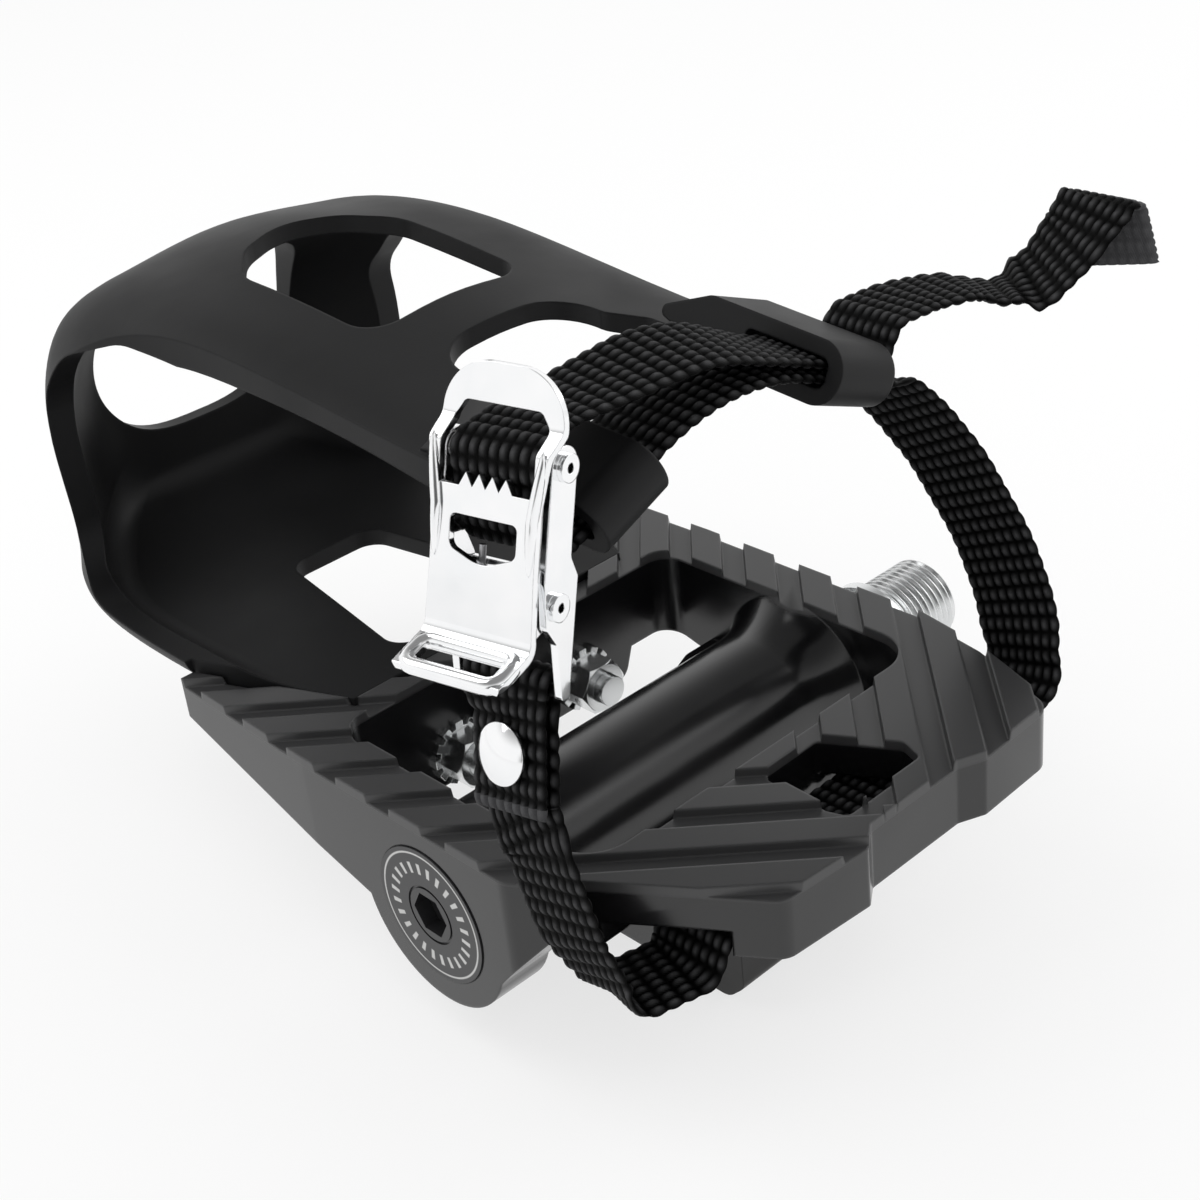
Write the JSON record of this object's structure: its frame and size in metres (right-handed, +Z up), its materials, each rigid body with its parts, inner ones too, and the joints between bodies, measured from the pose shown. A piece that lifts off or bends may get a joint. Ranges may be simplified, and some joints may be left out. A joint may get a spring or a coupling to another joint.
{
  "type": "clipless platform pedal",
  "caption": "Bicycle pedal with a cast grooved platform, toe clip with buckled strap on top and a clipless cleat binding underneath.",
  "frame": {"origin": "on the spindle axis at the shoulder face that meets the crank", "axes": "+X along the spindle toward the crank, +Y toward the toe, +Z up from the tread that carries the toe clip"},
  "size_m": [0.1222, 0.1579, 0.1018],
  "materials": {
    "cast_black": "gloss black paint on cast aluminium",
    "cap_black": "black moulded cap",
    "nylon_black": "fine matt mould grain",
    "webbing_black": "woven webbing",
    "chrome_steel": "bright plate",
    "zinc_steel": "zinc plate",
    "binding_steel": "yellow zinc plate",
    "spring_steel": "drawn wire",
    "bearing_steel": "ground",
    "bush_plastic": "moulded",
    "seal_rubber": "matt"
  },
  "bodies": {
    "spindle_group": {"spindle": "zinc_steel", "bearing_inner_race": "bearing_steel", "bearing_balls": "bearing_steel", "spindle_washer": "zinc_steel", "spindle_nut": "zinc_steel"},
    "platform": {"pedal_body": "cast_black", "dust_cap": "cap_black", "inner_seal": "seal_rubber", "inner_bush": "bush_plastic", "bearing_outer_race": "bearing_steel", "front_jaw": "binding_steel", "front_jaw_screws": "zinc_steel", "jaw_pin": "zinc_steel", "jaw_springs": "spring_steel", "toe_clip": "nylon_black", "toe_clip_bolts": "zinc_steel", "lock_washers": "zinc_steel", "toe_clip_nuts": "zinc_steel", "strap": "webbing_black", "strap_rivet": "chrome_steel", "strap_rivet_washer": "chrome_steel", "buckle_frame": "chrome_steel", "buckle_pivot_pin": "chrome_steel", "buckle_roller_pin": "chrome_steel", "buckle_spring": "spring_steel"},
    "rear_jaw": {"rear_jaw": "binding_steel", "tension_screw": "zinc_steel", "tension_plate": "binding_steel"},
    "lever": {"buckle_lever": "chrome_steel"},
    "roller": {"buckle_roller": "chrome_steel"}
  },
  "joints": [
    {"name": "pedal_spin", "type": "hinge", "parent": "spindle_group", "child": "platform", "pos_m": [0, 0, 0], "axis": [1, 0, 0], "continuous": true},
    {"name": "rear_jaw_hinge", "type": "hinge", "parent": "platform", "child": "rear_jaw", "pos_m": [-0.05175, -0.019, -0.011], "axis": [1, 0, 0], "range_deg": [-22, 0], "stiffness_Nm_per_rad": 3, "springref_deg": 20.05, "deforming": ["jaw_springs"]},
    {"name": "buckle_lever_hinge", "type": "hinge", "parent": "platform", "child": "lever", "pos_m": [-0.08855, -0.0187, 0.0547], "axis": [-0.2215, 0.9751, 0], "range_deg": [-20, 0], "stiffness_Nm_per_rad": 0.08, "springref_deg": 17.19, "deforming": ["buckle_spring"]},
    {"name": "buckle_roller_spin", "type": "hinge", "parent": "platform", "child": "roller", "pos_m": [-0.08378, -0.01762, 0.07051], "axis": [-0.2215, 0.9751, 0], "continuous": true}
  ]
}
